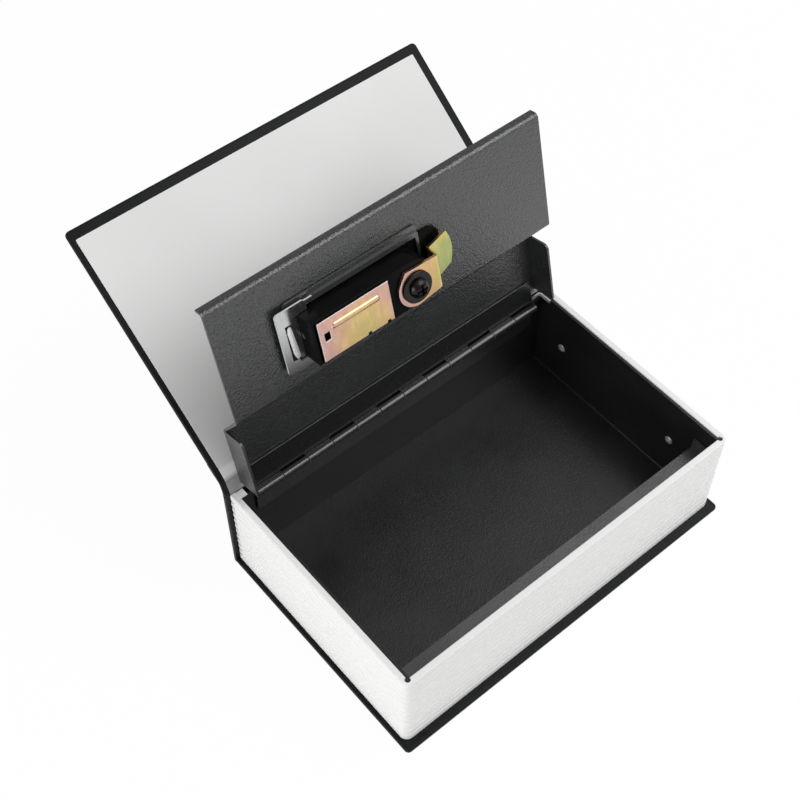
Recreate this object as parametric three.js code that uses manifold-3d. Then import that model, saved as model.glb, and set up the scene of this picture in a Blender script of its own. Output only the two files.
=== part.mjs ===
// A book diversion safe: a steel cash tray with a lid and a three-wheel combination
// lock, held in a moulded block of page edges and bound in a hard book case.
// Millimetres, +Z up. X runs along the spine, +Y points at the spine, and the origin
// is the middle of the back cover's underside. The book lies on its back cover with
// its front cover and the lid standing open.
import * as THREE from 'three';
import { mergeVertices } from 'three/addons/utils/BufferGeometryUtils.js';
import Module from 'manifold-3d';

const wasm = await Module();
wasm.setup();

// The closed book
const BOOK_LENGTH = 180;
const BOOK_WIDTH = 116.7;
const BOOK_HEIGHT = 55;
const END_OVERHANG = 2;
const FORE_OVERHANG = 3.7;
const BACK_BOARD = 2.5;
const FRONT_BOARD = 2.3;
const SPINE_BOARD = 1.8;
const BOARD_CORNER = 2;
const BOARD_EDGE = 0.8;
const JOINT_GUTTER = 6;
const JOINT_CLOTH = 0.7;
const ENDPAPER = 0.3;
const TURN_IN = 4.5;
const TURN_IN_LEFT = 2.4;
const COVER_OPEN = 143;
const HINGE_OUT = 1;

// Clearances
const FIT = 0.3;
const SPINE_GAP = 0.5;
const RUNNING = 0.4;
const SWING = 0.6;

// The block of page edges
const BLOCK_WALL = 2.8;
const BLOCK_CORNER = 3.5;
const BLOCK_FLOOR = 1.2;
const BLOCK_FLANGE = 9;
const RIM_ROUND = 0.5;
const PAGE_GROOVES = 11;
const GROOVE_DEPTH = 0.4;
const GROOVE_WIDTH = 0.9;

// The steel tray
const SHEET = 1;
const TRAY_DROP = 0.6;
const TRAY_BEND = 1.2;
const EDGE_BEAD = 0.9;
const BEAD_OUT = 0.3;
const BEAD_FORWARD = 0.6;
const LEDGE_WIDTH = 10;
const LEDGE_TAB = 5.5;
const LEDGE_TAB_LENGTH = 8;
const RIVET_HEAD = 2.1;
const RIVET_HEAD_HEIGHT = 0.9;
const RIVET_SHANK = 1.3;
const RIVET_GRIP = 2;
const RIVET_REAR = 38.3;
const RIVET_FRONT = -29.2;
const RIVET_HEIGHT = 27;

// The piano hinge
const PIN = 0.9;
const KNUCKLE = 2;
const LEAF = 0.8;
const LEAF_LENGTH = 14.2;
const KNUCKLES = 12;
const HINGE_LENGTH = 154.8;
const PIN_BEHIND = 4.5;
const PIN_BELOW_RIM = 3.4;

// The lid, measured from the hinge pin as it lies closed
const LID_OPEN = 104;
const LID_WIDTH = 163.5;
const LID_START = 7.3;
const POCKET_LENGTH = 29.3;
const STEP_RUN = 12.2;
const PLATE_DROP = 11.3;
const LIP_HEIGHT = 4;
const LID_BEND = 1.6;
const CHEEK_SHORT = 2.1;
const CHEEK_CORNER = 2.5;

// The combination lock, seen from inside the lid
const SPINDLE_FROM_PIN = 71;
const SPINDLE_X = 1.7;
const DIALS_BEYOND = 0.8;
const HOUSING_LEFT = -46.5;
const HOUSING_WIDTH = 20.6;
const HOUSING_WALL = 1.2;
const LUG_END = 24;
const LUG_WIDTH = 22;
const LUG_THICKNESS = 0.9;
const DIALS = 3;
const DIAL_PITCH = 9.5;
const DIAL_WIDTH = 7.4;
const DIAL_MIDDLE = -27.2;
const DIAL_PROUD = 1.4;
const DIAL_FACES = 10;
const TUMBLER_WIDTH = 1;
const SLIDE = 0.7;
const SLIDE_HEIGHT = 3.2;
const SLIDE_ARM = 2;
const SLIDE_FINGER = 1.6;
const SPRING_LEAF = 0.3;
const SPRING_LIFT = 0.75;
const SPRING_SPINE = 2.5;
const SPRING_BELOW = 5;
const SPRING_ABOVE = 3;
const SPRING_FINGER = 3;
const BEZEL_THICKNESS = 2;
const BEZEL_WIDTH = 25;
const BEZEL_MARGIN = 4;
const COVER_PLATE = 0.8;
const RIB_RADIUS = 1.35;
const RIB_HEIGHT = 0.6;
const RIB_LENGTH = 20.5;
const RIB_START = 7.4;
const RIB_IN = 4.7;
const FRAME_WIDTH = 33;
const FRAME_BAND = 4.9;
const FRAME_STEP = 0.8;
const COLLAR_HEIGHT = 2;
const COLLAR_WALL = 2.2;
const COLLAR_END = 1.4;
const CLIP = 0.8;
const CLIP_FROM_PIN = 72.5;
const CLIP_WIDTH = 29.2;
const CLIP_BEYOND = 9.6;
const CLIP_REACH = 14.1;
const CLIP_ARM = 6.2;
const TONGUE_WIDTH = 12;
const TONGUE_RISE = 1.2;

// The knob, the cam lever and its fixing
const SPINDLE = 4;
const KNOB_RADIUS = 9.5;
const KNOB_BASE = 3;
const KNOB_HEIGHT = 9.3;
const GRIP_WIDTH = 5;
const CAM = 1.3;
const CAM_END = 8.7;
const CAM_REACH = 25.3;
const CAM_JOGGLE = 11.95;
const CAM_SLANT = 1.6;
const BLADE_HEIGHT = 3.4;
const WASHER = 6.9;
const WASHER_THICKNESS = 0.8;
const SCREW_HEAD = 4.2;
const SCREW_HEAD_HEIGHT = 2.6;
const SCREW_SHANK = 2;
const SCREW_LENGTH = 7;

// Places that follow from the sizes above
const HALF_LENGTH = BOOK_LENGTH / 2;
const HALF_WIDTH = BOOK_WIDTH / 2;
const COVER_UNDERSIDE = BOOK_HEIGHT - FRONT_BOARD;
const RIM = COVER_UNDERSIDE - 2 * FIT - ENDPAPER;
const BLOCK_HALF = HALF_LENGTH - END_OVERHANG;
const BLOCK_FRONT = -HALF_WIDTH + FORE_OVERHANG;
const SPINE_INNER = HALF_WIDTH - SPINE_BOARD;
const BLOCK_BACK = SPINE_INNER - SPINE_GAP;
const SPINE_TOP = COVER_UNDERSIDE + 0.5;
const TRAY_HALF = BLOCK_HALF - BLOCK_WALL - FIT;
const TRAY_FRONT = BLOCK_FRONT + BLOCK_WALL + FIT;
const TRAY_BOTTOM = BACK_BOARD + BLOCK_FLOOR + 2 * FIT;
const TRAY_TOP = RIM - TRAY_DROP;
const PIN_Y = SPINE_INNER - PIN_BEHIND;
const PIN_Z = RIM - PIN_BELOW_RIM;
const TRAY_BACK = PIN_Y + KNUCKLE + FIT + SHEET;
const BACK_WALL_TOP = PIN_Z - FIT;
const WEB_UNDER = KNUCKLE + FIT;
const LID_END = PIN_Y - TRAY_FRONT - SWING;
const LEDGE_TOP = PIN_Z - PLATE_DROP - FIT;
const SPINDLE_Y = -SPINDLE_FROM_PIN;
const LOCK_Y = SPINDLE_Y - DIALS_BEYOND;
const PLATE_FACE = -PLATE_DROP;
const PLATE_BACK = PLATE_FACE + SHEET;
const BEZEL_FACE = PLATE_BACK + FIT + BEZEL_THICKNESS;
const DIAL_RADIUS = HOUSING_WIDTH / 2 - HOUSING_WALL - 2 * FIT - SLIDE;
const DIAL_Z = BEZEL_FACE + DIAL_PROUD - DIAL_RADIUS;
const TUMBLER_RADIUS = DIAL_RADIUS - DIAL_PROUD - BEZEL_THICKNESS - RUNNING;
const AXLE = TUMBLER_RADIUS * 0.375;
const HOUSING_END = DIAL_Z - DIAL_RADIUS - RUNNING;
const COVER_PLATE_FACE = HOUSING_END - FIT - COVER_PLATE;
const CAM_TOP = HOUSING_END - FIT;
const CAM_FACE = CAM_TOP - CAM;
const CAVITY_END = DIAL_MIDDLE + 1.5 * DIAL_PITCH + 2.8;
const PIVOT_Y = HALF_WIDTH + HINGE_OUT;
const PIVOT_Z = BOOK_HEIGHT + HINGE_OUT;

const paint = (color, roughness, metalness) =>
  new THREE.MeshStandardMaterial({ color, roughness, metalness });
const LEATHERETTE = paint(0x191a1b, 0.7, 0);
const PAPER = paint(0xdededc, 0.85, 0);
const PAGES = paint(0xf1f1ef, 0.5, 0);
const HAMMERTONE = paint(0x484b4b, 0.45, 0.3);
const HINGE_STEEL = paint(0x2e2f30, 0.35, 0.6);
const CHROME = paint(0xd9dadb, 0.15, 1);
const ZINC = paint(0xc9a25f, 0.3, 0.9);
const BLACK_PLASTIC = paint(0x111112, 0.4, 0);
const RIVET_METAL = paint(0x9a9b9c, 0.4, 0.8);

const book = new THREE.Group();
const frontCover = new THREE.Group();
const lid = new THREE.Group();
frontCover.position.set(0, PIVOT_Y, PIVOT_Z);
frontCover.rotation.x = -THREE.MathUtils.degToRad(COVER_OPEN);
lid.position.set(0, PIN_Y, PIN_Z);
lid.rotation.x = -THREE.MathUtils.degToRad(LID_OPEN);
book.add(frontCover, lid);

function add(group, name, solid, material) {
  const mesh = new THREE.Mesh(toGeometry(solid), material);
  mesh.name = name;
  group.add(mesh);
}

// Solids: a closed three.js geometry becomes a manifold, and comes back at the end
function toSolid(geometry) {
  geometry.deleteAttribute('normal');
  geometry.deleteAttribute('uv');
  const merged = mergeVertices(geometry, 1e-4);
  return new wasm.Manifold(new wasm.Mesh({
    numProp: 3,
    vertProperties: new Float32Array(merged.attributes.position.array),
    triVerts: new Uint32Array(merged.index.array),
  }));
}

function toGeometry(solid) {
  const mesh = solid.getMesh();
  const geometry = new THREE.BufferGeometry();
  geometry.setAttribute('position', new THREE.BufferAttribute(mesh.vertProperties, 3));
  geometry.setIndex(new THREE.BufferAttribute(mesh.triVerts, 1));
  geometry.computeVertexNormals();
  return geometry;
}

const join = (first, ...rest) => rest.reduce((sum, solid) => sum.add(solid), first);
const cut = (first, ...rest) => rest.reduce((sum, solid) => sum.subtract(solid), first);

function block(x0, x1, y0, y1, z0, z1) {
  const geometry = new THREE.BoxGeometry(x1 - x0, y1 - y0, z1 - z0);
  geometry.translate((x0 + x1) / 2, (y0 + y1) / 2, (z0 + z1) / 2);
  return toSolid(geometry);
}

// A plan outline raised along Z
function raised(shape, z0, z1, curveSegments = 6) {
  const geometry = new THREE.ExtrudeGeometry(shape, { depth: z1 - z0, bevelEnabled: false, curveSegments });
  geometry.translate(0, 0, z0);
  return toSolid(geometry);
}

// A section drawn as (y, z), drawn out along X
function drawnOut(shape, x0, x1, curveSegments = 4) {
  const geometry = new THREE.ExtrudeGeometry(shape, { depth: x1 - x0, bevelEnabled: false, curveSegments });
  geometry.applyMatrix4(new THREE.Matrix4().set(0, 0, 1, x0, 1, 0, 0, 0, 0, 1, 0, 0, 0, 0, 0, 1));
  return toSolid(geometry);
}

// A round bar or disc along X or Z
function bar(radius, axis, from, to, a, b, sides = 24) {
  const geometry = new THREE.CylinderGeometry(radius, radius, to - from, sides);
  const middle = (from + to) / 2;
  if (axis === 'x') geometry.rotateZ(Math.PI / 2).translate(middle, a, b);
  else geometry.rotateX(Math.PI / 2).translate(a, b, middle);
  return toSolid(geometry);
}

function roundedOutline(x0, x1, y0, y1, radius) {
  const shape = new THREE.Shape();
  shape.moveTo(x0 + radius, y0);
  shape.lineTo(x1 - radius, y0);
  shape.absarc(x1 - radius, y0 + radius, radius, -Math.PI / 2, 0);
  shape.lineTo(x1, y1 - radius);
  shape.absarc(x1 - radius, y1 - radius, radius, 0, Math.PI / 2);
  shape.lineTo(x0 + radius, y1);
  shape.absarc(x0 + radius, y1 - radius, radius, Math.PI / 2, Math.PI);
  shape.lineTo(x0, y0 + radius);
  shape.absarc(x0 + radius, y0 + radius, radius, Math.PI, Math.PI * 1.5);
  return shape;
}

// Bent sheet: a centre line with rounded bends, given its thickness on both sides
function sheetSection(points, thickness, bend, steps = 4) {
  const line = [points[0]];
  for (let i = 1; i < points.length - 1; i += 1) {
    const corner = points[i];
    const back = points[i - 1].clone().sub(corner).normalize();
    const on = points[i + 1].clone().sub(corner).normalize();
    const half = Math.acos(THREE.MathUtils.clamp(back.dot(on), -1, 1)) / 2;
    const reach = bend / Math.tan(half);
    const start = corner.clone().addScaledVector(back, reach);
    const end = corner.clone().addScaledVector(on, reach);
    for (let k = 0; k <= steps; k += 1) {
      const t = k / steps;
      const a = start.clone().lerp(corner, t);
      const b = corner.clone().lerp(end, t);
      line.push(a.lerp(b, t));
    }
  }
  line.push(points[points.length - 1]);
  const left = [];
  const right = [];
  line.forEach((point, i) => {
    const before = line[Math.max(i - 1, 0)];
    const after = line[Math.min(i + 1, line.length - 1)];
    const along = after.clone().sub(before).normalize();
    const normal = new THREE.Vector2(-along.y, along.x).multiplyScalar(thickness / 2);
    left.push(point.clone().add(normal));
    right.push(point.clone().sub(normal));
  });
  return new THREE.Shape([...left, ...right.reverse()]);
}

const at = (y, z) => new THREE.Vector2(y, z);

// Book case: boards with turned edges
function wrappedBoard(x0, x1, y0, y1, z0, z1) {
  const outline = roundedOutline(
    x0 + BOARD_EDGE, x1 - BOARD_EDGE, y0 + BOARD_EDGE, y1 - BOARD_EDGE, BOARD_CORNER - BOARD_EDGE);
  const geometry = new THREE.ExtrudeGeometry(outline, {
    depth: z1 - z0 - 2 * BOARD_EDGE, curveSegments: 3,
    bevelEnabled: true, bevelThickness: BOARD_EDGE, bevelSize: BOARD_EDGE, bevelSegments: 2,
  });
  geometry.translate(0, 0, z0 + BOARD_EDGE);
  return toSolid(geometry);
}

function bookCase() {
  const backEdge = SPINE_INNER - FIT;
  add(book, 'back_cover',
    wrappedBoard(-HALF_LENGTH, HALF_LENGTH, -HALF_WIDTH, backEdge, 0, BACK_BOARD), LEATHERETTE);

  const spineRound = SPINE_BOARD / 2 - 0.1;
  add(book, 'spine_board',
    drawnOut(roundedOutline(SPINE_INNER, HALF_WIDTH, 0, SPINE_TOP, spineRound), -HALF_LENGTH, HALF_LENGTH),
    LEATHERETTE);

  const foot = SPINE_TOP + FIT + JOINT_CLOTH / 2;
  const spineCloth = [at(HALF_WIDTH - 0.4, foot), at(PIVOT_Y - 0.3, foot + 0.3), at(PIVOT_Y, PIVOT_Z - FIT)];
  add(book, 'spine_joint_cloth',
    drawnOut(sheetSection(spineCloth, JOINT_CLOTH, 0.3), -HALF_LENGTH, HALF_LENGTH), LEATHERETTE);

  const frontEdge = -HALF_WIDTH - PIVOT_Y;
  const jointEdge = HALF_WIDTH - JOINT_GUTTER - PIVOT_Y;
  const boardTop = BOOK_HEIGHT - PIVOT_Z;
  const boardUnder = boardTop - FRONT_BOARD;
  add(frontCover, 'front_cover',
    wrappedBoard(-HALF_LENGTH, HALF_LENGTH, frontEdge, jointEdge, boardUnder, boardTop), LEATHERETTE);

  const sheet = roundedOutline(
    -HALF_LENGTH + TURN_IN_LEFT, HALF_LENGTH - TURN_IN, frontEdge + TURN_IN, jointEdge, 0.5);
  add(frontCover, 'front_endpaper',
    raised(sheet, boardUnder - FIT - ENDPAPER, boardUnder - FIT, 2), PAPER);

  const low = boardTop - JOINT_CLOTH;
  const coverCloth = [
    at(jointEdge + FIT, low), at(jointEdge + 2.2, low - 0.5), at(-2.6, low + 0.5), at(-0.75, 0)];
  add(frontCover, 'cover_joint_cloth',
    drawnOut(sheetSection(coverCloth, JOINT_CLOTH, 0.7), -HALF_LENGTH, HALF_LENGTH), LEATHERETTE);
}

// Page block: one wall section with moulded page lines, swept round three sides
function blockPath(steps = 5) {
  const x = BLOCK_HALF - BLOCK_CORNER;
  const y = BLOCK_FRONT + BLOCK_CORNER;
  const path = [{ x: -x, y: BLOCK_BACK, angle: Math.PI }];
  for (let k = 0; k <= steps; k += 1) path.push({ x: -x, y, angle: Math.PI + (k / steps) * Math.PI / 2 });
  for (let k = 0; k <= steps; k += 1) path.push({ x, y, angle: Math.PI * 1.5 + (k / steps) * Math.PI / 2 });
  path.push({ x, y: BLOCK_BACK, angle: Math.PI * 2 });
  return path;
}

function wallSection() {
  const foot = BACK_BOARD + FIT;
  const pitch = (RIM - foot) / (PAGE_GROOVES + 1);
  const section = [at(BLOCK_CORNER, foot)];
  for (let i = 1; i <= PAGE_GROOVES; i += 1) {
    const z = foot + i * pitch;
    section.push(at(BLOCK_CORNER, z - GROOVE_WIDTH / 2), at(BLOCK_CORNER - GROOVE_DEPTH, z));
    section.push(at(BLOCK_CORNER, z + GROOVE_WIDTH / 2));
  }
  const inner = BLOCK_CORNER - BLOCK_WALL;
  section.push(at(BLOCK_CORNER, RIM - RIM_ROUND), at(BLOCK_CORNER - RIM_ROUND, RIM));
  section.push(at(inner + RIM_ROUND / 2, RIM), at(inner, RIM - RIM_ROUND / 2), at(inner, foot));
  return section;
}

function sweptWall() {
  const path = blockPath();
  const section = wallSection();
  const positions = [];
  path.forEach(({ x, y, angle }) => {
    section.forEach((point) => {
      positions.push(x + point.x * Math.cos(angle), y + point.x * Math.sin(angle), point.y);
    });
  });
  const index = [];
  const n = section.length;
  for (let i = 0; i < path.length - 1; i += 1) {
    for (let k = 0; k < n; k += 1) {
      const a = i * n + k;
      const b = i * n + ((k + 1) % n);
      index.push(a, a + n, b, b, a + n, b + n);
    }
  }
  const last = (path.length - 1) * n;
  THREE.ShapeUtils.triangulateShape(section, []).forEach(([a, b, c]) => {
    index.push(a, b, c, last + a, last + c, last + b);
  });
  const geometry = new THREE.BufferGeometry();
  geometry.setAttribute('position', new THREE.Float32BufferAttribute(positions, 3));
  geometry.setIndex(index);
  return toSolid(geometry);
}

function rivetPlaces() {
  const places = [];
  for (const side of [-1, 1]) {
    for (const y of [RIVET_REAR, RIVET_FRONT]) places.push({ side, y });
  }
  return places;
}

function pageBlock() {
  const foot = BACK_BOARD + FIT;
  const edge = BLOCK_WALL / 2;
  const floor = roundedOutline(
    -BLOCK_HALF + edge, BLOCK_HALF - edge, BLOCK_FRONT + edge, BLOCK_BACK, BLOCK_CORNER - edge);
  const flange = BLOCK_WALL + BLOCK_FLANGE;
  const opening = roundedOutline(
    -BLOCK_HALF + flange, BLOCK_HALF - flange, BLOCK_FRONT + flange, BLOCK_BACK - flange, BLOCK_CORNER);
  floor.holes.push(opening);
  const shell = join(sweptWall(), raised(floor, foot, foot + BLOCK_FLOOR));
  const holes = rivetPlaces().map(({ side, y }) => {
    const inside = side * (TRAY_HALF - SHEET);
    const end = side * (TRAY_HALF - SHEET + RIVET_GRIP + FIT);
    return bar(RIVET_SHANK + FIT, 'x', Math.min(inside, end), Math.max(inside, end), y, RIVET_HEIGHT, 12);
  });
  const notches = edgeBeads(FIT, BACK_BOARD, RIM + FIT);
  add(book, 'page_block', cut(shell, ...holes, ...notches), PAGES);
}

// Steel tray: one folded sheet, open at the front, where a second sheet closes it.
// Both follow the page block's rounded front corners.
function withinBlock(solid) {
  const corner = BLOCK_CORNER - BLOCK_WALL - FIT;
  const plan = roundedOutline(-TRAY_HALF, TRAY_HALF, TRAY_FRONT, BLOCK_BACK + corner, corner);
  return solid.intersect(raised(plan, 0, BOOK_HEIGHT));
}

// The side walls' front edges are curled into beads, which the block makes room for
function edgeBeads(gap, from, to) {
  return [-1, 1].map((side) =>
    bar(EDGE_BEAD + gap, 'z', from, to, side * (TRAY_HALF + BEAD_OUT), TRAY_FRONT - BEAD_FORWARD, 16));
}

function tray() {
  const top = TRAY_TOP;
  const section = sheetSection([
    at(-TRAY_HALF + SHEET / 2, top), at(-TRAY_HALF + SHEET / 2, TRAY_BOTTOM + SHEET / 2),
    at(TRAY_HALF - SHEET / 2, TRAY_BOTTOM + SHEET / 2), at(TRAY_HALF - SHEET / 2, top)], SHEET, TRAY_BEND);
  const geometry = new THREE.ExtrudeGeometry(section, { depth: TRAY_BACK - TRAY_FRONT, bevelEnabled: false });
  geometry.rotateX(Math.PI / 2).translate(0, TRAY_BACK, 0);
  const trough = toSolid(geometry);
  const backWall = block(
    -TRAY_HALF + SHEET / 2, TRAY_HALF - SHEET / 2, TRAY_BACK - SHEET, TRAY_BACK,
    TRAY_BOTTOM + SHEET / 2, BACK_WALL_TOP);
  const holes = rivetPlaces().map(({ side, y }) =>
    bar(RIVET_SHANK + 0.15, 'x', side * TRAY_HALF - 2, side * TRAY_HALF + 2, y, RIVET_HEIGHT, 12));
  const beads = edgeBeads(0, TRAY_BOTTOM + SHEET, TRAY_TOP);
  add(book, 'tray', join(cut(withinBlock(join(trough, backWall)), ...holes), ...beads), HAMMERTONE);
}

function trayFront() {
  const half = TRAY_HALF - SHEET - FIT;
  const ledge = LEDGE_TOP - SHEET / 2;
  const front = TRAY_FRONT + SHEET / 2;
  const section = sheetSection([
    at(front, TRAY_BOTTOM + SHEET + FIT), at(front, ledge), at(TRAY_FRONT + LEDGE_WIDTH, ledge)],
  SHEET, TRAY_BEND);
  const panel = drawnOut(section, -half, half);
  const corner = TRAY_FRONT + LEDGE_WIDTH;
  const pieces = [];
  for (const side of [-1, 1]) {
    const inner = side * (half - SHEET);
    const outer = side * half;
    pieces.push(block(Math.min(inner, outer), Math.max(inner, outer),
      corner - LEDGE_TAB_LENGTH, corner, ledge, LEDGE_TOP + LEDGE_TAB));
  }
  const slots = [-1, 1].map((side) => {
    const inner = side * (half - 3 * SHEET);
    const outer = side * (half + 1);
    return block(Math.min(inner, outer), Math.max(inner, outer),
      front + SHEET, corner - LEDGE_TAB_LENGTH - 0.01, ledge - 2 * SHEET, LEDGE_TOP + SHEET);
  });
  add(book, 'tray_front', join(withinBlock(cut(panel, ...slots)), ...pieces), HAMMERTONE);
}

function rivets() {
  rivetPlaces().forEach(({ side, y }, i) => {
    const head = RIVET_HEAD_HEIGHT;
    const profile = [
      at(0, -head), at(RIVET_HEAD * 0.6, -head * 0.8), at(RIVET_HEAD, -0.15), at(RIVET_HEAD, 0),
      at(RIVET_SHANK, 0), at(RIVET_SHANK, RIVET_GRIP), at(0, RIVET_GRIP)];
    const geometry = new THREE.LatheGeometry(profile, 12);
    geometry.rotateZ(-side * Math.PI / 2);
    geometry.translate(side * (TRAY_HALF - SHEET - 0.1), y, RIVET_HEIGHT);
    add(book, `tray_rivet_${i + 1}`, toSolid(geometry), RIVET_METAL);
  });
}

// Piano hinge: two leaves whose rolled knuckles take turns on one pin
function hingeLeaf(turn) {
  const pitch = HINGE_LENGTH / KNUCKLES;
  const start = -HINGE_LENGTH / 2;
  const outline = new THREE.Shape();
  outline.moveTo(start, LEAF_LENGTH);
  for (let i = 0; i < KNUCKLES; i += 1) {
    const own = i % 2 === turn;
    const depth = own ? 0 : KNUCKLE + 2 * RUNNING;
    outline.lineTo(start + i * pitch + (own ? 0 : -1) * (i ? RUNNING / 2 : 0), depth);
    outline.lineTo(start + (i + 1) * pitch + (own ? 0 : 1) * (i < KNUCKLES - 1 ? RUNNING / 2 : 0), depth);
  }
  outline.lineTo(-start, LEAF_LENGTH);
  const leaf = raised(outline, KNUCKLE - LEAF, KNUCKLE);
  const knuckles = [];
  for (let i = turn; i < KNUCKLES; i += 2) {
    const from = start + i * pitch + (i ? RUNNING / 2 : 0);
    const to = start + (i + 1) * pitch - (i < KNUCKLES - 1 ? RUNNING / 2 : 0);
    knuckles.push(bar(KNUCKLE, 'x', from, to, 0, 0, 16));
  }
  const bore = bar(PIN + FIT, 'x', start - 1, -start + 1, 0, 0, 12);
  return cut(join(leaf, ...knuckles), bore);
}

function hinge() {
  const lower = hingeLeaf(1);
  const upper = hingeLeaf(0);
  // The tray's leaf hangs down inside the rear wall
  add(book, 'hinge_leaf_tray', lower.rotate([-90, 0, 0]).translate([0, PIN_Y, PIN_Z]), HINGE_STEEL);
  add(lid, 'hinge_leaf_lid', upper.mirror([0, 1, 0]), HINGE_STEEL);
  const pin = bar(PIN, 'x', -HINGE_LENGTH / 2 + 0.5, HINGE_LENGTH / 2 - 0.5, PIN_Y, PIN_Z, 12);
  add(book, 'hinge_pin', pin, HINGE_STEEL);
}

// Lid: a stepped sheet with end cheeks on its raised rear part
function lidSheet() {
  const half = LID_WIDTH / 2;
  const web = WEB_UNDER + SHEET / 2;
  const plate = PLATE_FACE + SHEET / 2;
  const stepStart = -LID_START - POCKET_LENGTH;
  const lipLine = -LID_END + SHEET / 2;
  const section = sheetSection([
    at(-LID_START, web), at(stepStart, web), at(stepStart - STEP_RUN, plate),
    at(lipLine, plate), at(lipLine, plate + LIP_HEIGHT)], SHEET, LID_BEND);
  const sheet = drawnOut(section, -half, half);

  const cheekUnder = PLATE_FACE + CHEEK_SHORT;
  const outline = new THREE.Shape();
  outline.moveTo(-LID_START, web);
  outline.lineTo(-LID_START, cheekUnder);
  outline.lineTo(stepStart + CHEEK_CORNER, cheekUnder);
  outline.absarc(stepStart + CHEEK_CORNER, cheekUnder + CHEEK_CORNER, CHEEK_CORNER, -Math.PI / 2, -Math.PI, true);
  outline.lineTo(stepStart, web);
  const cheeks = [drawnOut(outline, -half, -half + SHEET), drawnOut(outline, half - SHEET, half)];

  const opening = housingOutline(HOUSING_LEFT - RUNNING, HOUSING_WIDTH / 2 + RUNNING);
  const hole = raised(opening, PLATE_FACE - 1, PLATE_BACK + 1);
  add(lid, 'lid', cut(join(sheet, ...cheeks), hole), HAMMERTONE);
}

// Lock housing outline: square at the dial end, round about the spindle
function housingOutline(left, half, right = SPINDLE_X) {
  const shape = new THREE.Shape();
  const y = LOCK_Y;
  shape.moveTo(left, y - half);
  shape.lineTo(right, y - half);
  shape.absarc(right, y, half, -Math.PI / 2, Math.PI / 2);
  shape.lineTo(left, y + half);
  return shape;
}

// The housing's foot reaches past its round end, under the frame
function housingLug(gap) {
  const top = PLATE_FACE - FIT + gap;
  const low = LOCK_Y + HOUSING_WIDTH / 2;
  const outline = roundedOutline(SPINDLE_X, LUG_END + gap, low - LUG_WIDTH - gap, low + gap, 5);
  return raised(outline, PLATE_FACE - FIT - LUG_THICKNESS - gap, top, 6);
}

function lockHousing() {
  const y = LOCK_Y;
  const half = HOUSING_WIDTH / 2;
  const body = raised(housingOutline(HOUSING_LEFT, half), HOUSING_END, PLATE_BACK, 10);
  const cavityLeft = HOUSING_LEFT + HOUSING_WALL;
  const cavityHalf = half - HOUSING_WALL;
  const cavity = block(cavityLeft, CAVITY_END, y - cavityHalf, y + cavityHalf, HOUSING_END - 1, PLATE_BACK + 1);
  const axleHole = bar(AXLE + 0.15, 'x', HOUSING_LEFT - 1, CAVITY_END + 3, y, DIAL_Z, 12);
  const spindleHole = bar(SPINDLE + FIT, 'z', HOUSING_END - 1, PLATE_BACK + 1, SPINDLE_X, SPINDLE_Y);
  const wall = y + half - HOUSING_WALL;
  const low = DIAL_Z - SLIDE_HEIGHT / 2 - RUNNING;
  const high = DIAL_Z + SLIDE_HEIGHT / 2 + RUNNING;
  const side = SLIDE_ARM / 2 + FIT;
  const channel = block(CAVITY_END - 1, SPINDLE_X + side, wall - SLIDE - 2 * FIT, wall, low, high);
  const armChannel = block(SPINDLE_X - side, SPINDLE_X + side, SPINDLE_Y, wall, low, high);
  const cuts = [cavity, axleHole, spindleHole, channel, armChannel];
  add(lid, 'lock_housing', cut(join(body, housingLug(0)), ...cuts), BLACK_PLASTIC);

  const axle = bar(AXLE, 'x', HOUSING_LEFT + 0.2, CAVITY_END + 2.8, y, DIAL_Z, 12);
  add(lid, 'dial_axle', axle, CHROME);
}

// Locking slide: a strip with a finger for each tumbler's gate and an arm at the spindle
function lockingSlide() {
  const outer = LOCK_Y + HOUSING_WIDTH / 2 - HOUSING_WALL - FIT;
  const inner = outer - SLIDE;
  const armTip = SPINDLE_Y + SPINDLE + FIT;
  const half = SLIDE_ARM / 2;
  const low = DIAL_Z - SLIDE_HEIGHT / 2;
  const high = DIAL_Z + SLIDE_HEIGHT / 2;
  const strip = block(HOUSING_LEFT + HOUSING_WALL + FIT, SPINDLE_X + half, inner, outer, low, high);
  const arm = block(SPINDLE_X - half, SPINDLE_X + half, armTip, outer, low, high);
  const fingers = dialPlaces().map((x) => {
    const from = x + DIAL_WIDTH / 2 + FIT;
    const reach = LOCK_Y + TUMBLER_RADIUS + FIT;
    return block(from, from + TUMBLER_WIDTH, reach, outer,
      DIAL_Z - SLIDE_FINGER / 2, DIAL_Z + SLIDE_FINGER / 2);
  });
  add(lid, 'locking_slide', join(strip, arm, ...fingers), ZINC);
}

function lockBezel() {
  const y = LOCK_Y;
  const half = BEZEL_WIDTH / 2;
  const outline = housingOutline(HOUSING_LEFT - BEZEL_MARGIN, half);
  const plate = raised(outline, PLATE_BACK + FIT, BEZEL_FACE, 10);
  const side = DIAL_WIDTH / 2 + RUNNING;
  const windows = dialPlaces().map((x) =>
    bar(DIAL_RADIUS + RUNNING, 'x', x - side, x + side, y, DIAL_Z, 32));
  const bore = bar(SPINDLE + FIT, 'z', PLATE_BACK - 1, BEZEL_FACE + 1, SPINDLE_X, SPINDLE_Y);
  add(lid, 'lock_bezel', cut(plate, ...windows, bore), BLACK_PLASTIC);
}

const dialPlaces = () =>
  Array.from({ length: DIALS }, (_, i) => DIAL_MIDDLE + (i - (DIALS - 1) / 2) * DIAL_PITCH);

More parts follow.
